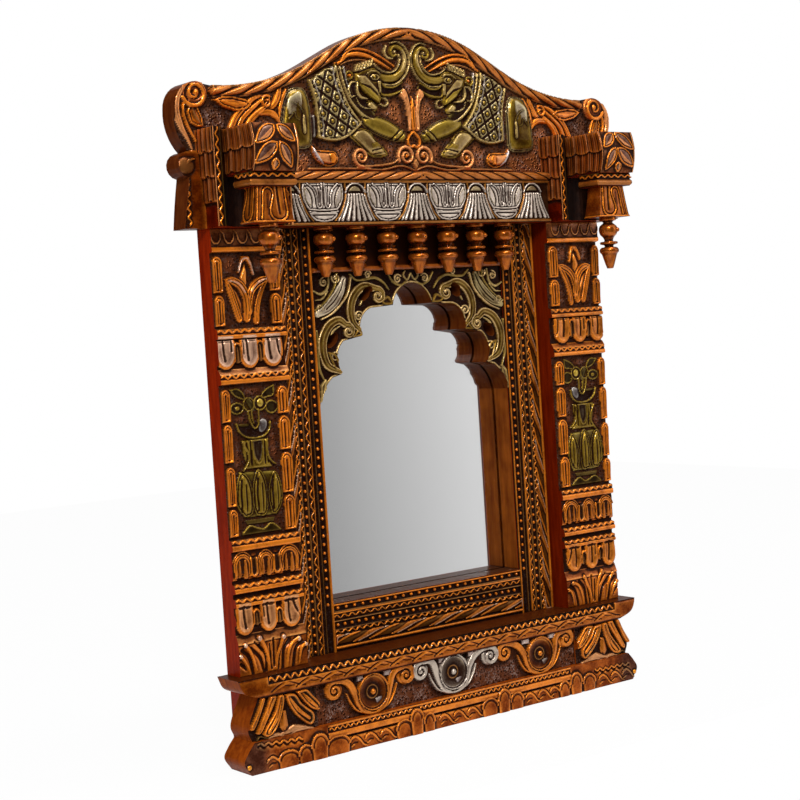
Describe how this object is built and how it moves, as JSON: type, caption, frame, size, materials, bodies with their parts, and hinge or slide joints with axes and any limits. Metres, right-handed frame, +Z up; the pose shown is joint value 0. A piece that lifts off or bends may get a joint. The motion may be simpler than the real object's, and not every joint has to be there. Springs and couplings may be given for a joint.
{
  "type": "wall mirror",
  "caption": "Tall wall mirror in a carved wooden frame with an arched opening, a bracketed canopy with turned drops, side pilasters, a scrolled crest and a moulded base.",
  "frame": {"origin": "bottom centre of the whole object's box, on the surface that the base stands on", "axes": "+X to the right as seen from the front, +Y back to the wall, +Z up"},
  "size_m": [0.4734, 0.1101, 0.6095],
  "materials": {
    "plain_wood": "dark red-brown stain under varnish",
    "carved_wood": "dark antiqued stain with rubbed copper highlights under gloss varnish",
    "turned_wood": "glossy red-brown varnish",
    "olive_gilt": "olive-gold paint rubbed over dark stain, gloss varnish",
    "silver_leaf": "silver-white paint rubbed over dark stain",
    "mirror": "polished silvered glass",
    "hardboard": "raw hardboard",
    "steel": "zinc-plated steel"
  },
  "bodies": {
    "root": {"arch_panel": "olive_gilt", "arch_rail": "carved_wood", "back_baluster_1": "turned_wood", "back_baluster_2": "turned_wood", "back_baluster_3": "turned_wood", "back_baluster_4": "turned_wood", "back_baluster_5": "turned_wood", "back_baluster_6": "turned_wood", "backing_board": "hardboard", "base_corner_left": "carved_wood", "base_corner_right": "carved_wood", "base_frieze": "carved_wood", "base_ledge": "carved_wood", "base_plinth": "carved_wood", "bell_capital_left": "carved_wood", "bell_capital_right": "carved_wood", "block_ledge_left": "carved_wood", "block_ledge_right": "carved_wood", "board_screws": "steel", "canopy_block_left": "carved_wood", "canopy_block_right": "carved_wood", "canopy_bracket_left": "carved_wood", "canopy_bracket_right": "carved_wood", "canopy_frieze": "silver_leaf", "canopy_rope": "carved_wood", "carcass_dowels": "plain_wood", "carcass_rail_bottom": "plain_wood", "carcass_rail_top": "plain_wood", "carcass_stile_left": "plain_wood", "carcass_stile_right": "plain_wood", "corner_drop_left": "turned_wood", "corner_drop_right": "turned_wood", "crest_board": "carved_wood", "crest_rope": "carved_wood", "front_drop_1": "turned_wood", "front_drop_2": "turned_wood", "front_drop_3": "turned_wood", "front_drop_4": "turned_wood", "front_drop_5": "turned_wood", "front_drop_6": "turned_wood", "front_drop_7": "turned_wood", "glazing_pins": "steel", "hanger_plate_left": "steel", "hanger_plate_right": "steel", "hanger_screws": "steel", "inner_moulding_bottom": "carved_wood", "inner_moulding_left": "carved_wood", "inner_moulding_right": "carved_wood", "mirror_glass": "mirror", "pilaster_left": "carved_wood", "pilaster_right": "carved_wood"}
  },
  "joints": []
}
